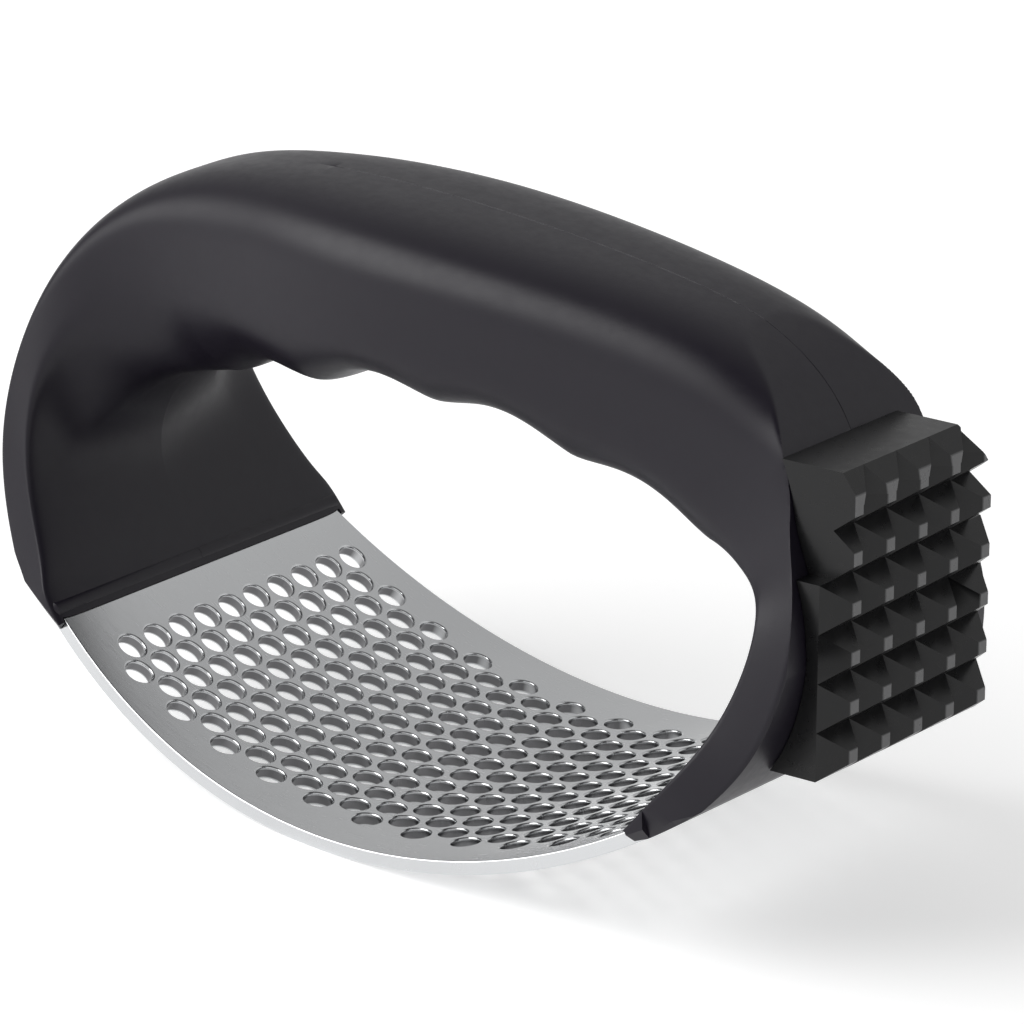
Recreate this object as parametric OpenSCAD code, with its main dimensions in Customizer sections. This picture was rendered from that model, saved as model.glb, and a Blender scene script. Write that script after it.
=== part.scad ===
// Rocker garlic press: a hollow two-piece handle arched over a curved perforated plate,
// with a toothed tenderizer block on its right leg. Rigid assembly, millimetres.
// X runs along the ring, Y along its width, Z up. The origin lies on the underside of the
// plate at its lowest point, midway between the two long edges.

/* [Press plate] */
// Radius of the plate's inner (upper) face
plate_r = 60.4; // [56:0.2:66]
// Sheet thickness
plate_t = 1.4; // [1.2:0.1:1.5]
// Angle from the lowest point to where each end enters its leg
plate_angle = 35.2; // [33:0.2:37]
// Width across the bowed edges at the lowest point
plate_mid_w = 49; // [46:0.5:54]
// Width where the plate meets the legs
plate_end_w = 42.0; // [38:0.5:43]
// Width of the flat under the lowest point, on which the tool stands still
rest_w = 6.4; // [4:0.2:8]

/* [Holes] */
// Diameter of a hole
hole_d = 2.8; // [2.4:0.1:3.2]
// Spacing of holes across the plate
hole_pitch = 3.8; // [3.7:0.05:4]
// Spacing of rows along the arc
row_pitch = 2.94; // [2.9:0.02:3]
// Holes in a row
hole_cols = 10; // [6:1:10]
// Rows of holes
hole_rows = 22; // [10:2:22]

/* [Plate tongues] */
// Length of the narrow neck inside the leg
neck_l = 3.2; // [2.5:0.1:4]
// Width of the neck
neck_w = 24; // [18:1:28]
// Length of the wide head that holds the plate in
head_l = 3.2; // [2.5:0.1:4]
// Width of the head
head_w = 33; // [30:1:36]
// Slope of the tongues above the horizontal
tongue_slope = 47.5; // [46:0.5:49]

/* [Handle arch] */
// Height of the grip's centre line over the plate's inner face
grip_z = 47.2; // [45:0.2:52]
// Reach of the left leg from the middle, to its centre line's guide point
side_l = 46.1; // [44:0.1:49]
// Reach of the right leg
side_r = 44.2; // [43:0.1:47]
// Height of the left leg's widest reach
side_l_z = 24.2; // [22:0.1:27]
// Height of the right leg's widest reach
side_r_z = 32.9; // [31:0.1:34.5]
// Thickness of the grip bar, inner face to crest
bar_t = 17; // [15:0.5:19]
// Width of the grip bar, front to rear
bar_w = 26; // [24:0.5:28]
// Width of the legs at the plate
leg_w = 44.4; // [43.6:0.2:46]
// Thickness of the left leg
leg_l_t = 4; // [3.8:0.1:4.6]
// Thickness of the right leg
leg_r_t = 5; // [4.6:0.1:5.6]
// Depth of the four finger grooves
groove_d = 1.6; // [0.8:0.1:2]
// Spacing of the finger grooves
groove_pitch = 15.5; // [14:0.5:16.5]
// Depth of the flat on the right shoulder above the block
pad_d = 1.2; // [0.6:0.1:1.6]
// Fill that rounds out the left inner corner under the grip
corner_fill = 9.5; // [4:0.5:10]
// Width of that fill, front to rear
corner_w = 21.6; // [16:0.4:24]
// Radius of the bead along the foot of the left leg's inner face
bead_r = 1; // [0.8:0.1:1.2]
// Chamfer of the feet along the plate's long edges
foot_chamfer = 1.2; // [0.4:0.1:1.6]
// Height of the bevels under the right foot's corners, above the plate's end
bevel_up = 3.8; // [2:0.2:4.2]
// Wall of the hollow grip
wall = 2.2; // [1.8:0.1:2.6]

/* [Shell screws] */
// Diameter of the screw's core
screw_d = 2.4; // [2:0.1:2.6]
// Head diameter
screw_head_d = 4.6; // [4.2:0.1:5]
// Head height
screw_head_h = 1.8; // [1.4:0.1:2.2]
// Length under the head
screw_l = 14; // [11:0.5:15]
// Depth of the head's recess below the rear face of the grip
recess_d = 3; // [2.4:0.1:3.6]
// Outside diameter of the screw bosses
boss_d = 7; // [6.4:0.2:7.6]

/* [Tenderizer block] */
// Spacing of teeth across the block
tooth_y = 5.2; // [4.6:0.1:5.4]
// Spacing of teeth down the block
tooth_z = 4.7; // [4.4:0.1:4.8]
// Depth of the grooves between teeth
tooth_d = 2.4; // [1.8:0.1:2.5]
// Width of a tooth's flat tip
tip_w = 1.2; // [0.8:0.1:1.6]
// Distance of the tips from the middle of the ring, at the block's mid height
tip_x = 49.2; // [49:0.1:51]
// Height of the block's middle row of grooves
block_z = 31.3; // [30.5:0.1:32]
// Height of the plain band above the top row of tips
top_band = 3.3; // [2.4:0.1:3.6]
// Lean of the tooth face, outward towards the bottom
block_lean = 4.6; // [3:0.2:6]
// Depth of the chamfer along the block's top outer edge
chamfer_d = 1.5; // [1:0.1:2]
// Height of that chamfer
chamfer_h = 2; // [1:0.1:2.6]
// Distance below the top where the upright grooves start to run out
run_out = 3; // [2.4:0.1:3.6]
// Core diameter of the block screws
block_screw_d = 2; // [1.8:0.1:2.2]
// Head diameter of the block screws
block_head_d = 3.8; // [3.4:0.1:4.2]

/* [Hidden] */
$fn = 48;

// Clearance of the plate and its tongues in the legs
fit = 0.1;
// Clearance of a screw core in its pilot hole, all round
core_fit = 0.05;
// Extra radius of a through hole or head recess
hole_fit = 0.25;
// Overshoot of a cutting solid past the face it cuts
over = 1;

// Teeth across and down the block
tooth_cols = 5;
tooth_rows = 6;
// Rows at the top that are cut back to the tips of the outer columns
short_rows = 2;

// The axis of the plate's arc is at the height that puts the flat under it at z = 0
plate_mid_r = plate_r + plate_t / 2;
axis_z = sqrt((plate_r + plate_t) ^ 2 - (rest_w / 2) ^ 2);
end_x = plate_mid_r * sin(plate_angle);
end_z = axis_z - plate_mid_r * cos(plate_angle);
// Height of the plate's inner face at its lowest point
lift = axis_z - plate_r;

// Squareness of a section's corners: 2 is an ellipse, 10 is nearly a rectangle
leg_n = 18;
side_n = 13;
shoulder_n = 5.3;
bar_n = 3.3;
corner_n = 2.7;

function mix(a, b, f) = a + (b - a) * f;

bar_h = bar_w / 2;
leg_h = leg_w / 2;

// Height at a share of the way from a leg's widest reach up to the grip's centre line
function rise_l(f) = mix(side_l_z, grip_z, f) + lift;
function rise_r(f) = mix(side_r_z, grip_z, f) + lift;

// Guide sections of the arch, left leg to right leg. Each is
// [x, z, thickness, half width, squareness, corner fill], blended by a uniform cubic B-spline.
guides = [
    [-end_x - 0.535 * leg_l_t, end_z + 0.35 * leg_l_t, 0.81 * leg_l_t, leg_h, leg_n, 0],
    [-mix(end_x, side_l, 0.358), mix(end_z, rise_l(0), 0.24), 1.038 * leg_l_t,
        mix(bar_h, leg_h, 0.801), leg_n, 0],
    [-side_l, rise_l(0), 0.948 * leg_l_t, mix(bar_h, leg_h, 0.477), side_n,
        0.474 * corner_fill],
    [-side_l, rise_l(0.616), 0.78 * leg_l_t, 0.986 * bar_h, shoulder_n, corner_fill],
    [-0.8015 * side_l, rise_l(0.939), 0.825 * bar_t, 0.708 * bar_h, corner_n,
        0.8 * corner_fill],
    [-0.468 * side_l, rise_l(0.896), 1.228 * bar_t, 0.913 * bar_h, bar_n, 0],
    [-0.1505 * side_l, rise_l(1.028), 0.979 * bar_t, 1.105 * bar_h, bar_n, 0],
    [0.3905 * side_r, rise_r(0.973), 1.034 * bar_t, 0.929 * bar_h, bar_n, 0],
    [0.764 * side_r, rise_r(0.6895), 1.227 * bar_t, 0.824 * bar_h, bar_n, 0],
    [0.886 * side_r, rise_r(0.3), 0.538 * bar_t, 0.867 * bar_h, shoulder_n, 0],
    [side_r, rise_r(0), 0.796 * leg_r_t, mix(bar_h, leg_h, 0.222), side_n, 0],
    [mix(end_x, side_r, 0.853), mix(end_z, rise_r(0), 0.439), 1.084 * leg_r_t,
        mix(bar_h, leg_h, 0.557), leg_n, 0],
    [end_x + 0.604 * leg_r_t, end_z + 0.696 * leg_r_t, 0.754 * leg_r_t, leg_h, leg_n, 0]
];
// Tails that run on past the plate and are trimmed along it
tail = 1.5;
function tail_of(a, b) = [
    a.x + (a.x - b.x) * tail, a.y + (a.y - b.y) * tail, a[2], a[3], a[4], a[5]
];
n_guides = len(guides);
rows = concat(
    [tail_of(guides[0], guides[1])], guides,
    [tail_of(guides[n_guides - 1], guides[n_guides - 2])]
);
last = len(rows) - 1;

function row(i) =
    i < 0 ? 2 * rows[0] - rows[1] : i > last ? 2 * rows[last] - rows[last - 1] : rows[i];
function span(u) = min(floor(u), last - 1);

// Section values at station u, 0 at the left tail and last at the right tail
function at(u) =
    let (i = span(u), s = u - i)
    ((1 - s) ^ 3 * row(i - 1) + (3 * s ^ 3 - 6 * s ^ 2 + 4) * row(i)
        + (-3 * s ^ 3 + 3 * s ^ 2 + 3 * s + 1) * row(i + 1) + s ^ 3 * row(i + 2)) / 6;
// Direction of the centre line at u
function along(u) =
    let (i = span(u), s = u - i,
        d = -(1 - s) ^ 2 * row(i - 1) + (3 * s ^ 2 - 4 * s) * row(i)
            + (-3 * s ^ 2 + 2 * s + 1) * row(i + 1) + s ^ 2 * row(i + 2))
    [d.x, d.y] / norm([d.x, d.y]);
// Unit normal of the centre line, pointing out of the ring
function out_of(u) = let (d = along(u)) [-d.y, d.x];

// Finger grooves: four scallops between rounded ridges
function scallop(x) =
    let (k = x / groove_pitch)
    abs(k) < 2 ? groove_d * abs(sin(180 * k)) ^ 1.4 : 0;
function share(v, from, run) = max(0, min(1, (v - from) / run));
function eased(t) = t * t * (3 - 2 * t);
// Depth of the flat on the right shoulder below the crown, at station u
pad_from = 8.6;
pad_run = 2.8;
function pad(u) = let (t = share(u, pad_from, pad_run)) 4 * pad_d * t * (1 - t);
// The crown is squared up beside the flat, by a share of its height that fades down the leg
raise = 0.45;
raise_kept = 0.25;
raise_from = 8.78;
raise_run = 0.7;
fade_from = 9.5;
fade_run = 1.2;
function raised(u) =
    raise * share(u, raise_from, raise_run) ^ 3
        * mix(1, raise_kept, eased(share(u, fade_from, fade_run)));

// The corner fill moves the inner face this way, and falls off towards the wide sides
corner_way = [0.6, -0.8];
corner_edge = 6;

function power(v, e) = sign(v) * abs(v) ^ e;

// Point of the section at u: phi 0 is the crest side, 90 the wide side, 180 the inner side.
// The squared crown and the flat are on the outer skin only, not on the hollow's.
function skin(u, phi, inset) =
    let (g = at(u), o = out_of(u), e = 2 / g[4], half = g[2] / 2 - inset,
        a = power(cos(phi), e), low = max(0, -a) ^ 1.5, inner = g.x - o.x * g[2] / 2,
        y = (g[3] - inset) * power(sin(phi), e),
        fill = g[5] * low / (1 + abs(2 * y / corner_w) ^ corner_edge),
        out = a > 0 && inset == 0 ? min(a * half * (1 + raised(u)), half - pad(u))
            : a * half,
        h = out + scallop(inner) * low)
    [g.x + o.x * h + corner_way.x * fill, y, g.y + o.y * h + corner_way.y * fill];

arch_steps = 110;
phi_steps = 14;
// The grip is hollow between these stations
hollow_from = 5.2;
hollow_to = 9.2;
// Rings of the skin just outside the hollow's two ends
ring_from = floor(arch_steps * hollow_from / last);
ring_to = ceil(arch_steps * hollow_to / last);

// One ring of points of the half arch at station u
function ring_points(side, u, inset) = [
    for (j = [0:phi_steps])
        let (p = skin(u, 180 * j / phi_steps, inset))
        [p.x, j < phi_steps ? side * p.y : 0, p.z]
];
function quad(a, b, c, d) = [[a, b, c], [a, c, d]];

// Half of the arch, on the side of y given by side: one closed solid of an outer skin, the
// skin of the hollow, and the flat seam face between them
module half_arch(side) {
    per = phi_steps + 1;
    hollows = ring_to - ring_from;
    points = concat(
        [for (i = [0:arch_steps]) each ring_points(side, last * i / arch_steps, 0)],
        [for (k = [0:hollows]) each ring_points(side, mix(hollow_from, hollow_to, k / hollows), wall)]
    );
    base = (arch_steps + 1) * per;
    skins = [
        for (i = [0:arch_steps - 1], j = [0:phi_steps - 1])
            let (a = i * per + j)
            each quad(a, a + per, a + per + 1, a + 1)
    ];
    hollow_skin = [
        for (k = [0:hollows - 1], j = [0:phi_steps - 1])
            let (a = base + k * per + j)
            each quad(a, a + 1, a + per + 1, a + per)
    ];
    plain_seam = [
        for (i = [0:arch_steps - 1])
            let (a = i * per)
            if (i < ring_from || i >= ring_to)
                each quad(a + phi_steps, a + per + phi_steps, a + per, a)
    ];
    hollow_seam = [
        for (k = [0:hollows - 1])
            let (a = (ring_from + k) * per, b = base + k * per)
            each concat(
                quad(a + phi_steps, a + per + phi_steps, b + per + phi_steps, b + phi_steps),
                quad(b, b + per, a + per, a)
            )
    ];
    from = ring_from * per;
    to = ring_to * per;
    end = base + hollows * per;
    ends = concat(
        quad(from + phi_steps, base + phi_steps, base, from),
        quad(end + phi_steps, to + phi_steps, to, end),
        [[for (j = [0:phi_steps]) j]],
        [[for (j = [phi_steps:-1:0]) arch_steps * per + j]],
        [[for (j = [phi_steps:-1:0]) base + j]],
        [[for (j = [0:phi_steps]) end + j]]
    );
    faces = concat(skins, hollow_skin, plain_seam, hollow_seam, ends);
    turned = [for (f = faces) [for (k = [len(f) - 1:-1:0]) f[k]]];
    polyhedron(points, side > 0 ? turned : faces, convexity = 8);
}

// Along the Y axis, mid height at y = 0
module along_y(h, r) { rotate([90, 0, 0]) cylinder(h = h, r = r, center = true); }

// Region swept by the plate, a little wider and deeper than the sheet
module plate_space(half_angle, grow) {
    big = 3 * plate_r;
    translate([0, 0, axis_z]) rotate([90, 0, 0]) difference() {
        linear_extrude(height = big, center = true)
            polygon([[0, 0], [-big * sin(half_angle), -big * cos(half_angle)],
                [big * sin(half_angle), -big * cos(half_angle)]]);
        cylinder(h = big + over, r = plate_r - grow, center = true, $fn = 180);
    }
}

// Bow of the plate's long edges: radius of the arc through middle and ends
bow = (plate_mid_w - plate_end_w) / 2;
bow_r = (end_x ^ 2 + bow ^ 2) / (2 * bow);
// Space between the plate's two bowed long edges
module bowed(grow) {
    intersection_for (s = [-1, 1])
        translate([0, s * (bow_r - plate_mid_w / 2), -over])
        cylinder(h = plate_r, r = bow_r + grow, $fn = 360);
}

// Bent tongue of the plate, on the right side: a neck and a wider head
module tongue(grow) {
    root = plate_t / 2;
    translate([end_x, 0, end_z]) rotate([0, -tongue_slope, 0]) {
        translate([-root, -neck_w / 2 - grow, -plate_t / 2 - grow])
            cube([root + neck_l + grow, neck_w + 2 * grow, plate_t + 2 * grow]);
        translate([neck_l - grow, -head_w / 2 - grow, -plate_t / 2 - grow])
            cube([head_l + 2 * grow, head_w + 2 * grow, plate_t + 2 * grow]);
    }
}
module both_ends() {
    children();
    mirror([1, 0, 0]) children();
}

// Stations of the screws along the arch, and the point and direction there
screw_at = [5.45, 6.55, 7.75, 8.95];
function centre(u) = let (g = at(u)) [g.x, 0, g.y];
// Seat of a screw's head, and how far the bosses reach into the side walls
function screw_y(u) = at(u)[3] - recess_d;
function boss_reach(u) = at(u)[3] - wall / 2;
// Room left beyond a screw's tip
tip_room = 0.5;

module bosses(side) {
    for (u = screw_at)
        translate(centre(u)) translate([0, side * boss_reach(u) / 2, 0])
            along_y(boss_reach(u), boss_d / 2);
}

// Stations and sideways places of the block screws
block_screws = [[10.94, -tooth_y], [11.62, tooth_y]];
block_screw_l = 7.3;
block_head_h = (block_head_d - block_screw_d) / 2;
// The heads sit this far below the leg's face
head_sink = 0.1;
// Moves to a block screw's head face, with +Z pointing out through the leg
module at_block_screw(k) {
    u = block_screws[k][0];
    g = at(u);
    o = out_of(u);
    h = -g[2] / 2;
    translate([g.x + o.x * h, block_screws[k][1], g.y + o.y * h])
        rotate([0, 90 - atan2(o.y, o.x), 0]) children();
}
module countersunk(r, head_r, head_h, length, extra) {
    rotate_extrude()
        polygon([[0, -extra], [head_r, -extra], [head_r, 0], [r, head_h], [r, length],
            [0, length]]);
}

// Everything within the plate's outer face, chamfered beyond the plate's long edges
module rim() {
    r = plate_r + plate_t;
    wide = leg_h + over;
    cut_r = r - foot_chamfer - over;
    translate([0, 0, axis_z]) rotate([90, 0, 0]) rotate_extrude($fn = 180)
        polygon([[0, -wide], [cut_r, -wide], [r, foot_chamfer - leg_h],
            [r, leg_h - foot_chamfer], [cut_r, wide], [0, wide]]);
}

// Bead along the foot of the left leg's inner face, half sunk in it
bead_in = 0.15;
bead_up = 0.45;
// The bead stops short of the leg's wide face
bead_short = 0.3;
module bead(side) {
    bead_l = leg_h - bead_short;
    translate([-end_x - bead_in, side * bead_l / 2, end_z + bead_up]) along_y(bead_l, bead_r);
}

// Bevel under the right foot's corner, falling inwards from its wide face
bevel_slope = 74;
bevel_rise = 11;
bevel_inset = 0.2;
module foot_bevel(side) {
    translate([end_x, side * leg_h, end_z + bevel_up])
        rotate([side * bevel_slope, -bevel_rise, 0])
        translate([-bevel_inset, -4 * bevel_up, -2 * bevel_up])
        cube([3 * leg_r_t, 8 * bevel_up, 2 * bevel_up]);
}

// The feet wrap round the plate's long edges over this angle at each end
wrap_angle = 1.2;

module shell(side) {
    difference() {
        intersection() {
            union() {
                half_arch(side);
                bosses(side);
                bead(side);
            }
            rim();
        }
        plate_space(plate_angle - wrap_angle, fit);
        intersection() {
            plate_space(plate_angle, fit);
            bowed(fit);
        }
        both_ends() tongue(fit);
        foot_bevel(side);
        for (k = [0, 1])
            at_block_screw(k)
                countersunk(block_screw_d / 2 + hole_fit, block_head_d / 2 + hole_fit,
                    block_head_h, 2 * block_screw_l, over);
    }
}

module handle_front_shell() {
    color([0.16, 0.16, 0.17]) difference() {
        shell(-1);
        for (u = screw_at) {
            pilot = screw_l - screw_y(u) + tip_room;
            translate(centre(u)) translate([0, (over - pilot) / 2, 0])
                along_y(pilot + over, screw_d / 2 + core_fit);
        }
    }
}

module handle_rear_shell() {
    color([0.18, 0.18, 0.19]) difference() {
        shell(1);
        for (u = screw_at) translate(centre(u)) {
            along_y(4 * bar_w, screw_d / 2 + hole_fit);
            translate([0, screw_y(u) + bar_w, 0])
                along_y(2 * bar_w, screw_head_d / 2 + hole_fit);
        }
    }
}

module press_plate() {
    color([0.75, 0.76, 0.78]) difference() {
        union() {
            intersection() {
                translate([0, 0, axis_z]) rotate([90, 0, 0])
                    rotate_extrude(angle = 360, $fn = 180)
                    translate([plate_r, -plate_mid_w / 2])
                    square([plate_t, plate_mid_w]);
                plate_space(plate_angle, over);
                bowed(0);
            }
            both_ends() tongue(0);
        }
        translate([-plate_r, -plate_mid_w, -2 * over])
            cube([2 * plate_r, 2 * plate_mid_w, 2 * over]);
        for (i = [0:hole_rows - 1], j = [0:hole_cols - 1]) {
            angle = (i - (hole_rows - 1) / 2) * row_pitch / plate_r * 180 / PI;
            stagger = (i % 2 == 0 ? 1 : -1) * hole_pitch / 4;
            translate([0, (j - (hole_cols - 1) / 2) * hole_pitch + stagger, axis_z])
                rotate([0, -angle, 0]) translate([0, 0, -plate_mid_r])
                cylinder(h = 3 * plate_t, r = hole_d / 2, center = true, $fn = 24);
        }
    }
}

// Block: half width over the outer columns' tips, and over the full face
short_h = (tooth_cols - 1) / 2 * tooth_y + tip_w / 2;
full_h = tooth_cols / 2 * tooth_y;
face_up = (tooth_rows - 1) / 2 * tooth_z + top_band;
face_down = tooth_rows / 2 * tooth_z;
block_depth = 9;
// Share of the last column that the cut at the rear top corner takes
corner_share = 0.7;

// Stretch of the arch that the block may seat on, and the steps it is outlined in
seat_from = 9;
seat_to = 13;
seat_steps = 24;

// Outline of the leg's outer face, to seat the block on, a hair clear of the leg
module leg_side(grow) {
    outer = [
        for (i = [0:seat_steps])
            let (u = mix(seat_from, seat_to, i / seat_steps), g = at(u), o = out_of(u),
                h = g[2] / 2 - pad(u) + grow)
            [g.x + o.x * h, g.y + o.y * h]
    ];
    rotate([90, 0, 0]) linear_extrude(height = 2 * leg_w, center = true)
        polygon(concat([[0, axis_z]], outer, [[0, 0]]));
}

// V groove across the face, along Y, centred on height z of the face
module groove_across(z) {
    half = (tooth_z - tip_w) / 2;
    rotate([90, 0, 0]) linear_extrude(height = 2 * leg_w, center = true)
        polygon([[over, z - half - over * half / tooth_d], [-tooth_d, z],
            [over, z + half + over * half / tooth_d]]);
}
// Upright V groove down the face, at y, running out to the chamfer's depth at the top
module groove_down(y) {
    half = (tooth_y - tip_w) / 2;
    out_z = face_up - run_out;
    slope = atan((tooth_d - chamfer_d) / run_out);
    vee = [[over, y - half - over * half / tooth_d], [-tooth_d, y],
        [over, y + half + over * half / tooth_d]];
    translate([0, 0, out_z - 3 * face_down]) linear_extrude(height = 3 * face_down)
        polygon(vee);
    intersection() {
        translate([-tooth_d, 0, out_z]) rotate([0, slope, 0]) translate([tooth_d, 0, -over])
            linear_extrude(height = 2 * run_out + over) polygon(vee);
        translate([-block_depth, y - tooth_y, out_z])
            cube([2 * block_depth, 2 * tooth_y, 3 * run_out]);
    }
}

module tenderizer_block() {
    short_z = face_up - top_band - (short_rows - 0.5) * tooth_z;
    color([0.09, 0.09, 0.1]) difference() {
        translate([tip_x, 0, block_z + lift]) rotate([0, -block_lean, 0]) difference() {
            rotate([90, 0, 0]) linear_extrude(height = 2 * full_h, center = true)
                polygon([[-block_depth, -face_down], [0, -face_down],
                    [0, face_up - chamfer_h], [-chamfer_d, face_up],
                    [-block_depth, face_up]]);
            for (i = [0:tooth_rows - 1])
                groove_across((i - tooth_rows / 2) * tooth_z);
            for (j = [0:tooth_cols])
                groove_down((j - tooth_cols / 2) * tooth_y);
            for (s = [-1, 1])
                translate([-2 * block_depth, s > 0 ? short_h : -short_h - tooth_y, short_z])
                    cube([4 * block_depth, tooth_y, 2 * face_up]);
            // Corner at the rear top, cut along the last column of the top row
            rear = short_h - corner_share * tooth_y;
            rotate([90, 0, 90]) linear_extrude(height = 4 * block_depth, center = true)
                polygon([[rear, face_up + over], [rear, face_up],
                    [short_h, face_up - tooth_z], [short_h + over, face_up - tooth_z],
                    [short_h + over, face_up + over]]);
        }
        leg_side(fit);
        for (k = [0, 1])
            at_block_screw(k)
                cylinder(h = block_screw_l + core_fit, r = block_screw_d / 2 + core_fit);
    }
}

// Pan-head screw with a cross recess, head towards +Y
module shell_screw(k) {
    slot_w = 0.7;
    slot_d = 1;
    color("silver") translate(centre(screw_at[k])) translate([0, screw_y(screw_at[k]), 0])
        rotate([-90, 0, 0]) difference() {
            union() {
                translate([0, 0, -screw_l]) cylinder(h = screw_l + over / 2, d = screw_d);
                cylinder(h = screw_head_h, d = screw_head_d);
            }
            for (a = [0, 90])
                rotate([0, 0, a])
                    translate([-screw_head_d / 3, -slot_w / 2, screw_head_h - slot_d])
                    cube([screw_head_d * 2 / 3, slot_w, slot_d + over]);
        }
}

// Countersunk screw through the leg into the block
module block_screw(k) {
    slot_w = 0.6;
    slot_d = 0.5;
    color("silver") at_block_screw(k) translate([0, 0, head_sink]) difference() {
        countersunk(block_screw_d / 2, block_head_d / 2, block_head_h,
            block_screw_l - head_sink, 0);
        for (a = [0, 90])
            rotate([0, 0, a]) translate([-block_head_d / 3, -slot_w / 2, -over])
                cube([block_head_d * 2 / 3, slot_w, slot_d + over]);
    }
}

handle_front_shell();
handle_rear_shell();
press_plate();
tenderizer_block();
shell_screw(0);  // shell_screw_1
shell_screw(1);  // shell_screw_2
shell_screw(2);  // shell_screw_3
shell_screw(3);  // shell_screw_4
block_screw(0);  // block_screw_upper
block_screw(1);  // block_screw_lower
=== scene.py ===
"""Rocker garlic press: black two-piece handle, perforated steel plate, toothed block."""

import math

import bmesh
import bpy
import numpy as np
from mathutils import Matrix, Vector
from mathutils.geometry import delaunay_2d_cdt


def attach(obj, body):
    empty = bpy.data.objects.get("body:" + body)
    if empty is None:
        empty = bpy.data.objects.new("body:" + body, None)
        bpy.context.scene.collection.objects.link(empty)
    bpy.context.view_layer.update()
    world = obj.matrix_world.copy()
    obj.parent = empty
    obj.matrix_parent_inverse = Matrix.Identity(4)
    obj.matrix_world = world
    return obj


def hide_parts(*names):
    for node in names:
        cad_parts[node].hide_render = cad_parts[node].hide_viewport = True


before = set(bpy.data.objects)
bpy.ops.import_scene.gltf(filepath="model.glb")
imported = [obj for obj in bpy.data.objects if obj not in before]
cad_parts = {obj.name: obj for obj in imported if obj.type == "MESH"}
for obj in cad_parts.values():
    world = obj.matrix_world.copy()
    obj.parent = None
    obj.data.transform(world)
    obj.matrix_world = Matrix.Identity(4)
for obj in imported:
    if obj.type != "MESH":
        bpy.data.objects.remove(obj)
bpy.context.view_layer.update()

MM = 0.001

# ---- sizes of the part, millimetres ----
PLATE_R, PLATE_T, PLATE_ANGLE = 60.4, 1.4, math.radians(35.2)
PLATE_MID_W, PLATE_END_W, REST_W = 49.0, 42.0, 6.4
HOLE_R, HOLE_PITCH, ROW_PITCH, HOLE_COLS, HOLE_ROWS = 1.4, 3.8, 2.94, 10, 22
GRIP_Z, SIDE_L, SIDE_R, SIDE_L_Z, SIDE_R_Z = 47.2, 46.1, 44.2, 24.2, 32.9
BAR_T, BAR_H, LEG_H, LEG_L_T, LEG_R_T = 17.0, 13.0, 22.2, 4.0, 5.0
LEG_N, SIDE_N, SHOULDER_N, BAR_N, CORNER_N = 18.0, 13.0, 5.3, 3.3, 2.7
GROOVE_PITCH, GROOVE_D = 15.5, 1.6
PAD_FROM, PAD_RUN, PAD_D = 8.6, 2.8, 1.2
RAISE, RAISE_KEPT, RAISE_FROM, RAISE_RUN, FADE_FROM, FADE_RUN = 0.45, 0.25, 8.78, 0.7, 9.5, 1.2
BEAD_R, FOOT_CHAMFER, BEVEL_UP, BEVEL_SLOPE, BEVEL_RISE, BEVEL_INSET = 1.0, 1.2, 3.8, 74, 11, 0.2
WRAP_ANGLE = math.radians(1.2)
TAIL, FIT = 1.5, 0.1
CORNER_FILL, CORNER_H, CORNER_EDGE, CORNER_WAY = 9.5, 10.8, 6, (0.6, -0.8)
SCREW_AT, RECESS_D, SCREW_R, SCREW_HEAD_R = (5.45, 6.55, 7.75, 8.95), 3.0, 1.45, 2.55
BLOCK_SCREWS, BLOCK_SCREW_R, BLOCK_HEAD_R = ((10.94, -5.2), (11.62, 5.2)), 1.25, 2.15

# Bead at each foot: place, share of its radius at the tip, and how far it stops from each end.
BEAD_IN, BEAD_UP, BEAD_NOSE = 0.15, 0.45, 0.6
BEAD_ROOT, BEAD_END, BEAD_TIP = 0.02, 0.7, 0.3
# Cutting tools: how far they run on, and how deep, wide or long they are.
OVER, SLOT_DEPTH, SLOT_WIDE, HEAD_SINK, SINK_L, RECESS_L = 1.0, 2.5, 40, 0.1, 12, 40
# Sides of the turned tools and steps along the plate's slot.
SMALL_SIDES, SCREW_SIDES, RIM_SIDES, SLOT_STEPS = 48, 64, 1440, 240
# Welding distances in metres, and the angle in degrees over which an edge stays sharp.
WELD, SLIVER, SHARP_ANGLE = 2e-6, 1e-6, 32

OUTER_R = PLATE_R + PLATE_T
AXIS_Z = math.sqrt(OUTER_R**2 - (REST_W / 2) ** 2)
LIFT = AXIS_Z - PLATE_R
MID_R = PLATE_R + PLATE_T / 2
END_X = MID_R * math.sin(PLATE_ANGLE)
END_Z = AXIS_Z - MID_R * math.cos(PLATE_ANGLE)


# ---- small tools ----
def mix(a, b, f):
    return a + (b - a) * f


def link(obj):
    bpy.context.scene.collection.objects.link(obj)
    return obj


def mesh_object(name, verts, faces):
    mesh = bpy.data.meshes.new(name)
    mesh.from_pydata([tuple(v) for v in np.asarray(verts, float)], [], faces)
    mesh.validate()
    return link(bpy.data.objects.new(name, mesh))


def bake_modifiers(obj):
    """Replaces the object's mesh by what its modifiers make of it."""
    dg = bpy.context.evaluated_depsgraph_get()
    mesh = bpy.data.meshes.new_from_object(obj.evaluated_get(dg))
    obj.modifiers.clear()
    old = obj.data
    obj.data = mesh
    if old.users == 0:
        bpy.data.meshes.remove(old)


def cut(obj, tool, operation="DIFFERENCE"):
    mod = obj.modifiers.new("cut", "BOOLEAN")
    mod.operation = operation
    mod.solver = "EXACT"
    mod.object = tool
    bake_modifiers(obj)


def drop(*objs):
    for o in objs:
        mesh = o.data
        bpy.data.objects.remove(o)
        bpy.data.meshes.remove(mesh)


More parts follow.
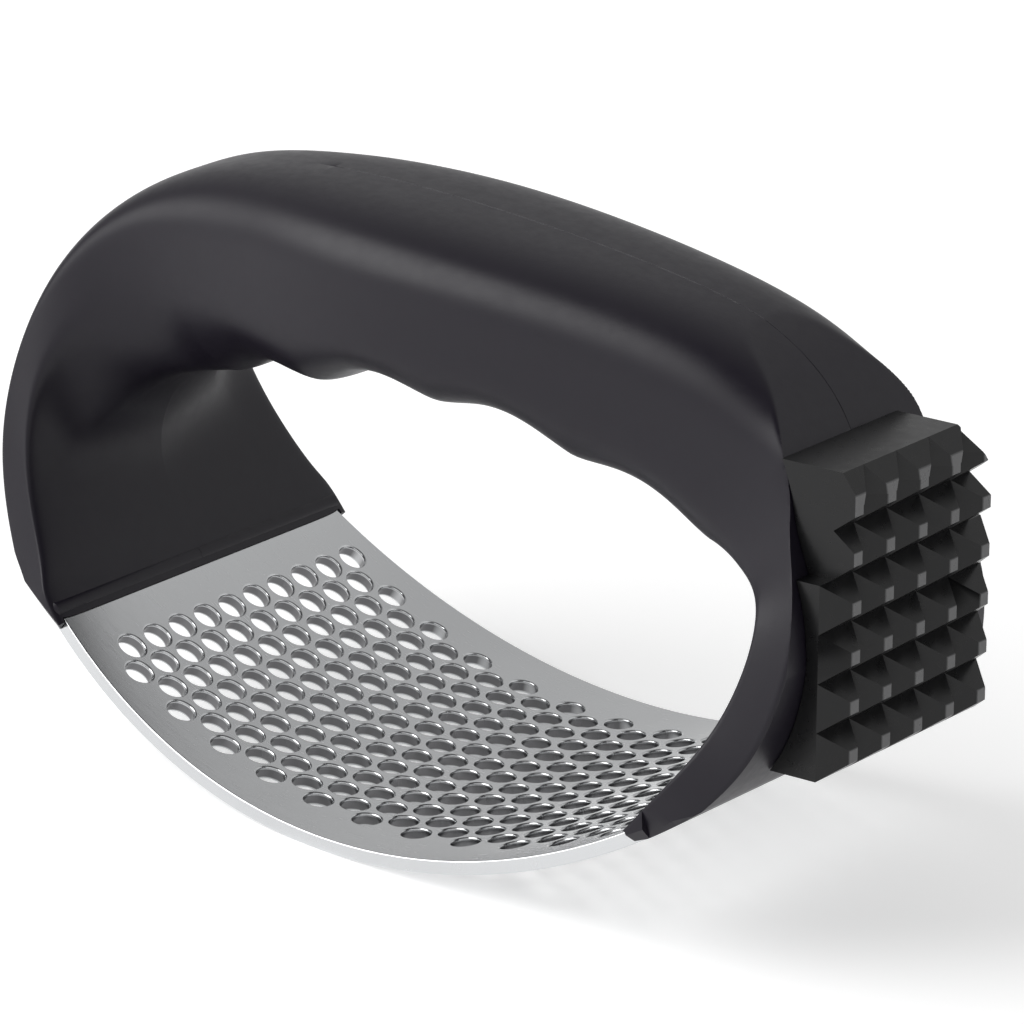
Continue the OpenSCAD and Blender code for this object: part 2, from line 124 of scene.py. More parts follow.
def lathe(name, profile, segments, matrix):
    """Solid of revolution about local Z from (radius, z) points that start and end on the axis."""
    verts, faces = [], []
    n = len(profile) - 2
    verts.append((0, 0, profile[0][1]))
    for r, z in profile[1:-1]:
        for k in range(segments):
            a = 2 * math.pi * k / segments
            verts.append((r * math.cos(a), r * math.sin(a), z))
    verts.append((0, 0, profile[-1][1]))
    last = len(verts) - 1
    for k in range(segments):
        k2 = (k + 1) % segments
        faces.append((0, 1 + k2, 1 + k))
        for i in range(n - 1):
            a, b = 1 + i * segments, 1 + (i + 1) * segments
            faces.append((a + k, a + k2, b + k2, b + k))
        b = 1 + (n - 1) * segments
        faces.append((last, b + k, b + k2))
    obj = mesh_object(name, verts, faces)
    obj.data.transform(Matrix.Scale(MM, 4) @ matrix)
    return obj


def smooth(obj, degrees):
    mesh = obj.data
    bm = bmesh.new()
    bm.from_mesh(mesh)
    bmesh.ops.remove_doubles(bm, verts=bm.verts, dist=WELD)
    bmesh.ops.dissolve_degenerate(bm, dist=SLIVER, edges=bm.edges)
    bmesh.ops.recalc_face_normals(bm, faces=bm.faces)
    bm.to_mesh(mesh)
    bm.free()
    mesh.shade_smooth()
    mesh.set_sharp_from_angle(angle=math.radians(degrees))


# ---- the arch: sections blended along a cubic B-spline ----
def rise_l(f):
    return mix(SIDE_L_Z, GRIP_Z, f) + LIFT


def rise_r(f):
    return mix(SIDE_R_Z, GRIP_Z, f) + LIFT


GUIDES = [
    [-END_X - 0.535 * LEG_L_T, END_Z + 0.35 * LEG_L_T, 0.81 * LEG_L_T, LEG_H, LEG_N, 0],
    [-mix(END_X, SIDE_L, 0.358), mix(END_Z, rise_l(0), 0.24), 1.038 * LEG_L_T,
     mix(BAR_H, LEG_H, 0.801), LEG_N, 0],
    [-SIDE_L, rise_l(0), 0.948 * LEG_L_T, mix(BAR_H, LEG_H, 0.477), SIDE_N, 0.474 * CORNER_FILL],
    [-SIDE_L, rise_l(0.616), 0.78 * LEG_L_T, 0.986 * BAR_H, SHOULDER_N, CORNER_FILL],
    [-0.8015 * SIDE_L, rise_l(0.939), 0.825 * BAR_T, 0.708 * BAR_H, CORNER_N, 0.8 * CORNER_FILL],
    [-0.468 * SIDE_L, rise_l(0.896), 1.228 * BAR_T, 0.913 * BAR_H, BAR_N, 0],
    [-0.1505 * SIDE_L, rise_l(1.028), 0.979 * BAR_T, 1.105 * BAR_H, BAR_N, 0],
    [0.3905 * SIDE_R, rise_r(0.973), 1.034 * BAR_T, 0.929 * BAR_H, BAR_N, 0],
    [0.764 * SIDE_R, rise_r(0.6895), 1.227 * BAR_T, 0.824 * BAR_H, BAR_N, 0],
    [0.886 * SIDE_R, rise_r(0.3), 0.538 * BAR_T, 0.867 * BAR_H, SHOULDER_N, 0],
    [SIDE_R, rise_r(0), 0.796 * LEG_R_T, mix(BAR_H, LEG_H, 0.222), SIDE_N, 0],
    [mix(END_X, SIDE_R, 0.853), mix(END_Z, rise_r(0), 0.439), 1.084 * LEG_R_T,
     mix(BAR_H, LEG_H, 0.557), LEG_N, 0],
    [END_X + 0.604 * LEG_R_T, END_Z + 0.696 * LEG_R_T, 0.754 * LEG_R_T, LEG_H, LEG_N, 0],
]


def tail_of(a, b):
    return [a[0] + (a[0] - b[0]) * TAIL, a[1] + (a[1] - b[1]) * TAIL] + a[2:]


ROWS = np.array(
    [tail_of(GUIDES[0], GUIDES[1])] + GUIDES + [tail_of(GUIDES[-1], GUIDES[-2])], float
)
LAST = len(ROWS) - 1
ROWS = np.vstack([2 * ROWS[0] - ROWS[1], ROWS, 2 * ROWS[-1] - ROWS[-2]])


def station(u):
    """Section values, direction and outward normal of the centre line at stations u."""
    u = np.atleast_1d(np.asarray(u, float))
    i = np.minimum(np.floor(u), LAST - 1).astype(int)
    s = (u - i)[:, None]
    a, b, c, d = ROWS[i], ROWS[i + 1], ROWS[i + 2], ROWS[i + 3]
    g = (1 - s) ** 3 * a + (3 * s**3 - 6 * s**2 + 4) * b
    g = (g + (-3 * s**3 + 3 * s**2 + 3 * s + 1) * c + s**3 * d) / 6
    t = -((1 - s) ** 2) * a + (3 * s**2 - 4 * s) * b + (-3 * s**2 + 2 * s + 1) * c + s**2 * d
    t = t[:, :2] / np.linalg.norm(t[:, :2], axis=1)[:, None]
    return g, t, np.stack([-t[:, 1], t[:, 0]], 1)


def smoothstep(x, low, high):
    t = np.clip((np.asarray(x, float) - low) / (high - low), 0, 1)
    return t * t * (3 - 2 * t)


def share(u, low, run):
    return np.clip((np.asarray(u, float) - low) / run, 0, 1)


def pad(u):
    """Depth of the flat on the right shoulder, below the crown."""
    t = share(u, PAD_FROM, PAD_RUN)
    return PAD_D * 4 * t * (1 - t)


def raised(u):
    """How far the crown is squared up beside the flat, as a share of its height."""
    t = share(u, FADE_FROM, FADE_RUN)
    return RAISE * share(u, RAISE_FROM, RAISE_RUN) ** 3 * mix(1, RAISE_KEPT, t * t * (3 - 2 * t))


def skin(u, phi):
    """Points of the arch's outside at stations u and section angles phi."""
    g, _, o = station(u)
    e = (2 / g[:, 4])[:, None]
    half = (g[:, 2] / 2)[:, None]
    c, s = np.cos(phi)[None], np.sin(phi)[None]
    a = np.sign(c) * abs(c) ** e
    inner = (g[:, 0] - o[:, 0] * g[:, 2] / 2)[:, None]
    k = inner / GROOVE_PITCH
    low = np.maximum(0, -a) ** 1.5
    dent = np.where(abs(k) < 2, GROOVE_D * abs(np.sin(math.pi * k)) ** 1.4, 0)
    y = g[:, 3][:, None] * np.sign(s) * abs(s) ** e
    fill = g[:, 5][:, None] * low / (1 + abs(y / CORNER_H) ** CORNER_EDGE)
    crown = 1 + raised(u)[:, None]
    upper = np.minimum(a * half * crown, half - pad(u)[:, None])
    h = np.where(a > 0, upper, a * half) + dent * low
    x = g[:, :1] + o[:, :1] * h + CORNER_WAY[0] * fill
    z = g[:, 1:2] + o[:, 1:2] * h + CORNER_WAY[1] * fill
    return np.stack([x, y, z], -1)


ARCH_STEPS, PHI_STEPS = 560, 72
SEAM_W, SEAM_D = 0.07, 0.16
# Stations between which the crest's seam opens and closes, and the waves that break it up.
SEAM_OPENS, SEAM_CLOSES, SEAM_WAVES = (5.9, 6.3), (9.3, 9.6), (31, 12.7)


def seam_depth(u):
    """How far the joint line opens along the crest: of varying depth, and closed elsewhere."""
    crest = smoothstep(u, *SEAM_OPENS) * (1 - smoothstep(u, *SEAM_CLOSES))
    dash = 0.5 + 0.5 * np.sin(u * SEAM_WAVES[0]) * np.sin(u * SEAM_WAVES[1] + 1)
    return SEAM_D * crest * (0.35 + 0.65 * dash)


def half_arch(name, side):
    """Closed solid of the arch on one side of the middle plane, with the seam's lip."""
    u = np.linspace(0, LAST, ARCH_STEPS + 1)
    phi = np.linspace(0, math.pi, PHI_STEPS + 1)
    body = skin(u, phi)
    body[:, 0, 1] = body[:, -1, 1] = SEAM_W
    _, _, o = station(u)
    dip = seam_depth(u)[:, None]
    top = body[:, 0].copy()
    top[:, 0] -= (o * dip)[:, 0]
    top[:, 2] -= (o * dip)[:, 1]
    top[:, 1] = 0
    low = body[:, -1].copy()
    low[:, 1] = 0
    pts = np.concatenate([top[:, None], body, low[:, None]], 1)
    pts[..., 1] *= side
    n, m = pts.shape[:2]
    faces = []
    for i in range(n - 1):
        for j in range(m):
            a, b = i * m + j, i * m + (j + 1) % m
            quad = (a, a + m, b + m, b)
            faces.append(quad if side < 0 else quad[::-1])
    caps = [tuple(range(m)), tuple(range((n - 1) * m, n * m))[::-1]]
    faces += caps if side < 0 else [c[::-1] for c in caps]
    return mesh_object(name, pts.reshape(-1, 3) * MM, faces)


def centre(u):
    g, _, _ = station([u])
    return Vector((g[0, 0], 0, g[0, 1]))


BOW = (PLATE_MID_W - PLATE_END_W) / 2
BOW_R = (END_X**2 + BOW**2) / (2 * BOW)


def bow_y(x, grow=0.0):
    """Half width between the plate's bowed edges."""
    return np.sqrt((BOW_R + grow) ** 2 - x**2) - BOW_R + PLATE_MID_W / 2


def plate_slot(name, half_angle, steps, wide=None):
    """Room for the plate between the legs, bowed like its edges or wide, as a closed solid."""
    verts, faces = [], []
    low_r, high_r = PLATE_R - FIT, PLATE_R + SLOT_DEPTH
    for i in range(steps + 1):
        a = mix(-half_angle, half_angle, i / steps)
        for r, side in ((low_r, -1), (high_r, -1), (high_r, 1), (low_r, 1)):
            x = r * math.sin(a)
            y = side * (wide or float(bow_y(x, FIT)))
            verts.append((x * MM, y * MM, (AXIS_Z - r * math.cos(a)) * MM))
    for i in range(steps):
        for j in range(4):
            a, b = i * 4 + j, i * 4 + (j + 1) % 4
            faces.append((a, b, b + 4, a + 4))
    faces += [(0, 3, 2, 1), tuple(steps * 4 + k for k in range(4))]
    return mesh_object(name, verts, faces)


def block_of(name, low, high, matrix):
    """Closed box between two corners, placed by matrix, in millimetres."""
    xs, ys, zs = zip(low, high)
    verts = [(x, y, z) for x in xs for y in ys for z in zs]
    faces = [(0, 1, 3, 2), (4, 6, 7, 5), (0, 4, 5, 1), (2, 3, 7, 6), (0, 2, 6, 4), (1, 5, 7, 3)]
    obj = mesh_object(name, verts, faces)
    obj.data.transform(Matrix.Scale(MM, 4) @ matrix)
    return obj


def at_block_screw(k):
    """Placing of a block screw: on the leg's inner face, its axis towards the block."""
    u, y = BLOCK_SCREWS[k]
    g, _, o = station([u])
    h = -g[0, 2] / 2
    place = Matrix.Translation((g[0, 0] + o[0, 0] * h, y, g[0, 1] + o[0, 1] * h))
    return place @ Matrix.Rotation(math.pi / 2 - math.atan2(o[0, 1], o[0, 0]), 4, "Y")


def make_shell(name, side):
    """One half of the handle's outside; side is -1 for the front and 1 for the rear."""
    obj = half_arch(name, side)
    upright = Matrix.Rotation(math.pi / 2, 4, "X")
    foot = Matrix.Translation((-END_X - BEAD_IN, 0, END_Z + BEAD_UP))
    bead = lathe(
        "bead", [(0, BEAD_ROOT), (BEAD_R, BEAD_ROOT), (BEAD_R, LEG_H - BEAD_END),
                 (BEAD_NOSE * BEAD_R, LEG_H - BEAD_TIP), (0, LEG_H - BEAD_TIP)],
        SMALL_SIDES, foot @ Matrix.Rotation(-side * math.pi / 2, 4, "X"))
    cut(obj, bead, "UNION")
    wide = LEG_H + OVER
    cut_r = OUTER_R - FOOT_CHAMFER - OVER
    rim = lathe(
        "rim", [(0, -wide), (cut_r, -wide), (OUTER_R, FOOT_CHAMFER - LEG_H),
                (OUTER_R, LEG_H - FOOT_CHAMFER), (cut_r, wide), (0, wide)], RIM_SIDES,
        Matrix.Translation((0, 0, AXIS_Z)) @ upright)
    cut(obj, rim, "INTERSECT")
    slot = plate_slot("slot", PLATE_ANGLE, SLOT_STEPS)
    cut(obj, slot)
    slot_wide = plate_slot("slot_wide", PLATE_ANGLE - WRAP_ANGLE, SLOT_STEPS, SLOT_WIDE)
    cut(obj, slot_wide)
    bevel = block_of(
        "bevel", (-BEVEL_INSET, -4 * BEVEL_UP, -2 * BEVEL_UP),
        (3 * LEG_R_T - BEVEL_INSET, 4 * BEVEL_UP, 0),
        Matrix.Translation((END_X, side * LEG_H, END_Z + BEVEL_UP))
        @ Matrix.Rotation(math.radians(-BEVEL_RISE), 4, "Y")
        @ Matrix.Rotation(math.radians(side * BEVEL_SLOPE), 4, "X"))
    cut(obj, bevel)
    tools = [bead, rim, slot, slot_wide, bevel]
    for k, (_, y) in enumerate(BLOCK_SCREWS):
        if y * side > 0:
            head = BLOCK_HEAD_R - BLOCK_SCREW_R + HEAD_SINK
            tool = lathe(
                "sink", [(0, -OVER), (BLOCK_HEAD_R, -OVER), (BLOCK_HEAD_R, 0),
                         (BLOCK_SCREW_R, head), (BLOCK_SCREW_R, SINK_L), (0, SINK_L)],
                SMALL_SIDES, at_block_screw(k))
            cut(obj, tool)
            tools.append(tool)
    if side > 0:
        for u in SCREW_AT:
            spin = Matrix.Translation(centre(u)) @ Matrix.Rotation(-math.pi / 2, 4, "X")
            seat = float(station([u])[0][0, 3]) - RECESS_D
            tool = lathe(
                "recess", [(0, -2 * OVER), (SCREW_R, -2 * OVER), (SCREW_R, seat),
                           (SCREW_HEAD_R, seat), (SCREW_HEAD_R, RECESS_L), (0, RECESS_L)],
                SCREW_SIDES, spin)
            cut(obj, tool)
            tools.append(tool)
    drop(*tools)
    smooth(obj, SHARP_ANGLE)
    return obj


# ---- the plate: flat triangulation of the perforated sheet, rims rounded, then wrapped ----
HOLE_SIDES = 40
HOLE_ROUND, EDGE_ROUND, ROUND_STEPS = 0.22, 0.16, 4
EDGE_POINTS, END_POINTS = 161, 41
# Loose points: spacing, reach across, room at the two ends, at the long edges and at the holes.
GRID_STEP, GRID_Y, GRID_START, GRID_STOP, EDGE_ROOM, HOLE_ROOM = 1.0, 24.3, 0.9, 0.6, 0.7, 0.35
CDT_LIMIT = 1e-7


def edge_y(s):
    """Half width of the sheet at arc length s."""
    return bow_y(MID_R * np.sin(s / PLATE_R))


def wrap(flat, depth):
    """Points in the part's frame of sheet coordinates (arc length, y) at a depth below the top."""
    r = PLATE_R + depth
    a = flat[:, 0] / PLATE_R
    return np.stack([r * np.sin(a), flat[:, 1], AXIS_Z - r * np.cos(a)], 1)


def make_plate(name):
    """The perforated sheet: two triangulated faces joined by rounded hole and edge walls."""
    end = PLATE_R * PLATE_ANGLE
    loops = []
    s = np.linspace(-end + EDGE_ROUND, end - EDGE_ROUND, EDGE_POINTS)
    front = np.stack([s, -(edge_y(s) - EDGE_ROUND)], 1)
    back = np.stack([s, edge_y(s) - EDGE_ROUND], 1)[::-1]
    ends = [
        np.stack([np.full(END_POINTS - 2, sx), np.linspace(a, b, END_POINTS)[1:-1]], 1)
        for sx, a, b in ((s[-1], front[-1, 1], back[0, 1]), (s[0], back[-1, 1], front[0, 1]))
    ]
    loops.append((np.concatenate([front, ends[0], back, ends[1]]), EDGE_ROUND, 1))
    turn = np.arange(HOLE_SIDES) * 2 * math.pi / HOLE_SIDES
    ring = np.stack([np.cos(turn), np.sin(turn)], 1)
    centres = []
    for i in range(HOLE_ROWS):
        along = (i - (HOLE_ROWS - 1) / 2) * ROW_PITCH
        stagger = (1 if i % 2 == 0 else -1) * HOLE_PITCH / 4
        for j in range(HOLE_COLS):
            c = (along, (j - (HOLE_COLS - 1) / 2) * HOLE_PITCH + stagger)
            centres.append(c)
            loops.append((ring * (HOLE_R + HOLE_ROUND) + c, HOLE_ROUND, -1))
    centres = np.array(centres)
    # loose points that keep the triangles short
    grid_s, grid_y = np.meshgrid(np.arange(-end + GRID_START, end - GRID_STOP, GRID_STEP),
                                 np.arange(-GRID_Y, GRID_Y + GRID_STEP / 10, GRID_STEP))
    loose = np.stack([grid_s.ravel(), grid_y.ravel()], 1)
    loose = loose[abs(loose[:, 1]) < edge_y(loose[:, 0]) - EDGE_ROOM]
    gap = np.linalg.norm(loose[:, None] - centres[None], axis=2).min(1)
    loose = loose[gap > HOLE_R + HOLE_ROUND + HOLE_ROOM]

    flat = np.concatenate([p for p, _, _ in loops] + [loose])
    owner = np.concatenate(
        [np.full(len(p), k) for k, (p, _, _) in enumerate(loops)] + [np.full(len(loose), -1)]
    )
    edges, start = [], 0
    for p, _, _ in loops:
        n = len(p)
        edges += [(start + k, start + (k + 1) % n) for k in range(n)]
        start += n
    got = delaunay_2d_cdt([Vector(p) for p in flat], edges, [], 0, CDT_LIMIT)
    out_flat = np.array([tuple(v) for v in got[0]])
    source = np.array([min(x) if len(x) else -1 for x in got[3]])
    own = np.where(source >= 0, owner[source], -1)
    tris = []
    for t in got[2]:
        k = [own[v] for v in t]
        if k[0] == k[1] == k[2] and k[0] > 0:
            continue
        tris.append(tuple(t))
    to_out = {int(a): b for b, a in enumerate(source) if a >= 0}

    n = len(out_flat)
    up = np.stack([-np.sin(out_flat[:, 0] / PLATE_R), 0 * out_flat[:, 0],
                   np.cos(out_flat[:, 0] / PLATE_R)], 1)
    verts = [wrap(out_flat, 0.0), wrap(out_flat, PLATE_T)]
    normals = [up, -up]
    faces = tris + [tuple(n + v for v in t[::-1]) for t in tris]
    count = 2 * n
    start = 0
    angles = np.linspace(0, math.pi / 2, ROUND_STEPS + 1)
    for p, c, sign in loops:
        m = len(p)
        index = np.array([to_out[start + k] for k in range(m)])
        start += m
        along = np.roll(p, -1, 0) - np.roll(p, 1, 0)
        along /= np.linalg.norm(along, axis=1)[:, None]
        out = np.stack([along[:, 1], -along[:, 0]], 1) * (1 if sign > 0 else -1)
        a = p[:, 0] / PLATE_R
        up3 = np.stack([-np.sin(a), 0 * a, np.cos(a)], 1)
        out3 = np.stack([out[:, 0] * np.cos(a), out[:, 1], out[:, 0] * np.sin(a)], 1)
        rings = [index]
        for half in (0, 1):
            steps = angles[1:] if half == 0 else angles[::-1][:-1]
            for q in steps:
                flat_q = p + out * c * math.sin(q)
                dip = c * (1 - math.cos(q))
                depth = dip if half == 0 else PLATE_T - dip
                verts.append(wrap(flat_q, depth))
                face_up = up3 if half == 0 else -up3
                normals.append(face_up * math.cos(q) + out3 * math.sin(q))
                rings.append(np.arange(count, count + m))
                count += m
        rings.append(index + n)
        for a_ring, b_ring in zip(rings[:-1], rings[1:]):
            for k in range(m):
                k2 = (k + 1) % m
                quad = (int(a_ring[k]), int(b_ring[k]), int(b_ring[k2]), int(a_ring[k2]))
                faces.append(quad if sign > 0 else quad[::-1])
    verts = np.concatenate(verts) * MM
    verts[:, 2] = np.maximum(verts[:, 2], 0)  # the flat that the tool stands on
    normals = np.concatenate(normals)
    mesh = bpy.data.meshes.new(name)
    mesh.from_pydata([tuple(v) for v in verts], [], faces)
    mesh.shade_smooth()
    mesh.normals_split_custom_set_from_vertices([tuple(v) for v in normals])
    return link(bpy.data.objects.new(name, mesh))


# ---- the tooth block, with worn edges ----
BLOCK_WELD, FLAT_ANGLE, WORN_W, WORN_ANGLE = 5e-6, 0.6, 0.13, 25


def make_block(name):
    """The CAD's block with its coplanar triangles merged and its edges worn round."""
    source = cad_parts["tenderizer_block"]
    mesh = source.data.copy()
    obj = link(bpy.data.objects.new(name, mesh))
    bm = bmesh.new()
    bm.from_mesh(mesh)
    bmesh.ops.remove_doubles(bm, verts=bm.verts, dist=BLOCK_WELD)
    bmesh.ops.dissolve_limit(
        bm, angle_limit=math.radians(FLAT_ANGLE), verts=bm.verts, edges=bm.edges)
    bm.to_mesh(mesh)
    bm.free()
    bevel = obj.modifiers.new("wear_and_tip_highlight", "BEVEL")
    bevel.width = WORN_W * MM
    bevel.segments = 2
    bevel.limit_method = "ANGLE"
    bevel.angle_limit = math.radians(WORN_ANGLE)
    bevel.harden_normals = True
    bake_modifiers(obj)
    return obj


# ---- materials ----
class Nodes:
    """Short way to write the nodes of a material or of the world."""

    def __init__(self, owner, output="OutputMaterial"):
        owner.use_nodes = True
        self.owner, self.tree = owner, owner.node_tree
        self.tree.nodes.clear()
        self.out = self.add(output)

    def add(self, kind, sockets=None, **settings):
        node = self.tree.nodes.new("ShaderNode" + kind)
        for key, value in settings.items():
            setattr(node, key, value)
        for key, value in (sockets or {}).items():
            socket = node.inputs[key]
            if isinstance(value, bpy.types.NodeSocket):
                self.tree.links.new(value, socket)
            else:
                socket.default_value = value
        return node

    def math(self, operation, a, b=0.0):
        return self.add("Math", {0: a, 1: b}, operation=operation).outputs[0]

    def dot(self, vector, fixed):
        sockets = {0: vector, 1: fixed}
        return self.add("VectorMath", sockets, operation="DOT_PRODUCT").outputs["Value"]

    def place(self):
        return self.add("TexCoord").outputs["Object"]

    def noise(self, scale, detail=2.0, rough=0.5, vector=None):
        vector = vector or self.place()
        return self.add("TexNoise", {"Vector": vector, "Scale": scale, "Detail": detail,
                                     "Roughness": rough}).outputs["Fac"]

    def ramp(self, fac, low, high, to_low=0.0, to_high=1.0, curve="LINEAR"):
        return self.add("MapRange", {"Value": fac, "From Min": low, "From Max": high,
                                     "To Min": to_low, "To Max": to_high},
                        interpolation_type=curve).outputs["Result"]

    def blend(self, fac, a, b):
        """Mixes two colours, each a triple or another node's output."""
        a, b = (c if isinstance(c, bpy.types.NodeSocket) else (*c, 1) for c in (a, b))
        return self.add("Mix", {0: fac, 6: a, 7: b}, data_type="RGBA").outputs[2]

    def bump(self, height, distance):
        return self.add("Bump", {"Height": height, "Distance": distance}).outputs["Normal"]

    def finish(self, shader):
        self.tree.links.new(shader, self.out.inputs["Surface"])
        return self.owner


# Range of a noise's values that is spread over a material's roughness.
NOISE_LOW, NOISE_HIGH = 0.3, 0.7
PLASTIC_IOR = 1.39
# The flat tips of the teeth lie in the plane TIP_PLANE along TIP_AXIS, and get a painted highlight
# near it, a light grey colour.
TIP_AXIS, TIP_PLANE = (0.99678, 0.0, 0.0802), 51.657
TIP_FADE_FROM, TIP_FADE_TO = 0.12, 0.03
# The punched walls start this deep under each face of the sheet, within this half width, and are
# darkened there with painted shade.
WALL_TOP, WALL_BASE, WALL_Y = (0.22, 0.34), (0.3, 0.2), (19.2, 19.6)
# The third colour is the painted shade on the hole walls.
STEEL_DARK, STEEL_LIGHT, HOLE_SHADE_COLOUR = (0.60, 0.61, 0.62), (0.68, 0.69, 0.70), (0.16, 0.16, 0.165)
SCREW_DARK, SCREW_LIGHT = (0.55, 0.56, 0.57), (0.7, 0.7, 0.71)


def plastic(name, color, tint, roughness, spread, grain, wear_and_tip_highlight=None):
    """Moulded plastic: faint mottling, fine grain bump, and a painted highlight in light grey on
    the flat tooth tips if that colour is given.
    """
    n = Nodes(bpy.data.materials.new(name))
    colour = n.blend(n.noise(260, 4, 0.6), color, tint)
    if wear_and_tip_highlight:
        # painted highlight: the flat tooth tips are coloured light grey
        along = n.dot(n.place(), TIP_AXIS)
        tip_highlight_mask = n.ramp(along, (TIP_PLANE - TIP_FADE_FROM) * MM, (TIP_PLANE - TIP_FADE_TO) * MM)
        colour = n.blend(tip_highlight_mask, colour, wear_and_tip_highlight)
    rough = n.ramp(n.noise(900, 3, 0.6), NOISE_LOW, NOISE_HIGH,
                   roughness - spread, roughness + spread)
    normal = n.bump(n.noise(5200, 2, 0.6), grain * MM)
    shader = n.add("BsdfPrincipled", {
        "Base Color": colour, "Roughness": rough, "Normal": normal, "IOR": PLASTIC_IOR,
    })
    return n.finish(shader.outputs[0])


def steel(name):
    """Brushed sheet, with painted shade darkening the walls inside its punched holes."""
    n = Nodes(bpy.data.materials.new(name))
    stretched = n.add("Mapping", {"Vector": n.place(), "Scale": (1.0, 14.0, 1.0)}).outputs[0]
    brush = n.noise(420, 3, 0.6, stretched)
    colour = n.blend(n.noise(60, 3, 0.5), STEEL_DARK, STEEL_LIGHT)
    centred = n.add("VectorMath", {0: n.place(), 1: (0, 0, -AXIS_Z * MM)}, operation="ADD")
    split = n.add("SeparateXYZ", {0: centred.outputs[0]}).outputs
    radius = n.math("SQRT", n.math("ADD", n.math("MULTIPLY", split["X"], split["X"]),
                                   n.math("MULTIPLY", split["Z"], split["Z"])))
    below_top = n.ramp(radius, *[(PLATE_R + depth) * MM for depth in WALL_TOP])
    above_base = n.ramp(radius, *[(OUTER_R - depth) * MM for depth in WALL_BASE], 1.0, 0.0)
    within = n.ramp(n.math("ABSOLUTE", split["Y"]), *[y * MM for y in WALL_Y], 1.0, 0.0)
    hole_shade = n.math("MULTIPLY", n.math("MULTIPLY", below_top, above_base), within)
    # painted shade: the hole walls are coloured dark grey
    colour = n.blend(hole_shade, colour, HOLE_SHADE_COLOUR)
    rough = n.ramp(brush, NOISE_LOW, NOISE_HIGH, 0.2, 0.28)
    normal = n.bump(brush, 0.002 * MM)
    shader = n.add("BsdfPrincipled", {
        "Base Color": colour, "Roughness": rough, "Metallic": 1.0, "Normal": normal,
    })
    return n.finish(shader.outputs[0])


def screw_steel(name):
    """Bright plating, a little worn."""
    n = Nodes(bpy.data.materials.new(name))
    wear = n.noise(1500, 3, 0.6)
    colour = n.blend(wear, SCREW_DARK, SCREW_LIGHT)
    rough = n.ramp(wear, NOISE_LOW, NOISE_HIGH, 0.18, 0.34)
    shader = n.add("BsdfPrincipled", {"Base Color": colour, "Roughness": rough, "Metallic": 1.0})
    return n.finish(shader.outputs[0])


HANDLE = plastic("handle_plastic", color=(0.0062, 0.0045, 0.0095), tint=(0.0082, 0.0062, 0.0120),
                 roughness=0.40, spread=0.03, grain=0.006)
# The block's light grey tip colour is a painted highlight on the tooth tips.
BLOCK = plastic("block_plastic", color=(0.004, 0.004, 0.0045), tint=(0.006, 0.006, 0.0065),
                roughness=0.30, spread=0.04, grain=0.003, wear_and_tip_highlight=(0.10, 0.10, 0.102))
STEEL = steel("plate_steel")
SCREW = screw_steel("screw_steel")


def dress(obj, material, slot, *nodes):
    """Gives a piece its material and body, and hides the CAD solids that it stands for. The slot
    argument is not used.
    """
    obj.data.materials.clear()
    obj.data.materials.append(material)
    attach(obj, "root")
    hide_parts(*nodes)


dress(make_shell("handle_front", -1), HANDLE, "handle_plastic", "handle_front_shell")
dress(make_shell("handle_rear", 1), HANDLE, "handle_plastic", "handle_rear_shell")
dress(make_plate("plate"), STEEL, "plate_steel", "press_plate")
dress(make_block("block"), BLOCK, "block_plastic", "tenderizer_block")
for node_name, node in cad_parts.items():
    if "screw" in node_name:
        node.data.materials.clear()
        node.data.materials.append(SCREW)

# ---- floor, world, lamp ----
FLOOR_HALF, FLOOR_DROP, FLOOR_GLOW = 4, 0.00005, 0.4
PAPER_LOW, PAPER_HIGH = 0.86, 0.88
# The world's light: from the wall behind the object to the wall before it, overhead, below the
# horizon, and from a pale patch in the rear wall that the plate mirrors.
WALL_DARK, WALL_LIGHT, CEILING, BELOW, PATCH = 0.12, 0.86, 0.15, 0.9, 0.45
FRONT_WAY, PATCH_WAY = (0.696, -0.696, 0.174), (-0.35, 0.80, 0.48)

corners = [(-1, -1), (1, -1), (1, 1), (-1, 1)]
floor = mesh_object("floor", [(FLOOR_HALF * x, FLOOR_HALF * y, 0) for x, y in corners],
                    [(0, 1, 2, 3)])
floor.location.z = -FLOOR_DROP
n = Nodes(bpy.data.materials.new("floor_white"))
path = n.add("LightPath").outputs
seen = n.math("MAXIMUM", path["Is Camera Ray"], n.math(
    "MAXIMUM", path["Is Glossy Ray"], path["Is Transmission Ray"]))
paper = n.ramp(n.noise(8, 2), NOISE_LOW, NOISE_HIGH, PAPER_LOW, PAPER_HIGH)
white = n.add("CombineColor", {0: paper, 1: paper, 2: paper}).outputs[0]
diffuse = n.add("BsdfDiffuse", {"Color": white}).outputs[0]
glow = n.add("Emission", {"Color": (1, 1, 1, 1), "Strength": n.math("MULTIPLY", seen, FLOOR_GLOW)})
both = n.add("AddShader", {0: diffuse, 1: glow.outputs[0]})
floor.data.materials.append(n.finish(both.outputs[0]))

w = Nodes(bpy.data.worlds.new("studio"), "OutputWorld")
bpy.context.scene.world = w.owner
direction = w.add("TexCoord").outputs["Generated"]
height = w.add("SeparateXYZ", {0: direction}).outputs["Z"]
walls = w.ramp(w.dot(direction, FRONT_WAY), -0.6, 0.35, WALL_DARK, WALL_LIGHT, "SMOOTHSTEP")
ceiling = w.ramp(height, 0.45, 0.88, 1.0, CEILING, "SMOOTHSTEP")
patch = w.ramp(w.dot(direction, PATCH_WAY), 0.35, 0.9, 0.0, PATCH, "SMOOTHSTEP")
upper = w.math("ADD", w.math("MULTIPLY", walls, ceiling), patch)
horizon = w.ramp(height, 0.0, 0.12, 0.0, 1.0, "SMOOTHSTEP")
sky = w.add("Mix", {0: horizon, 2: BELOW, 3: upper}, data_type="FLOAT").outputs[0]
camera_ray = w.add("LightPath").outputs["Is Camera Ray"]
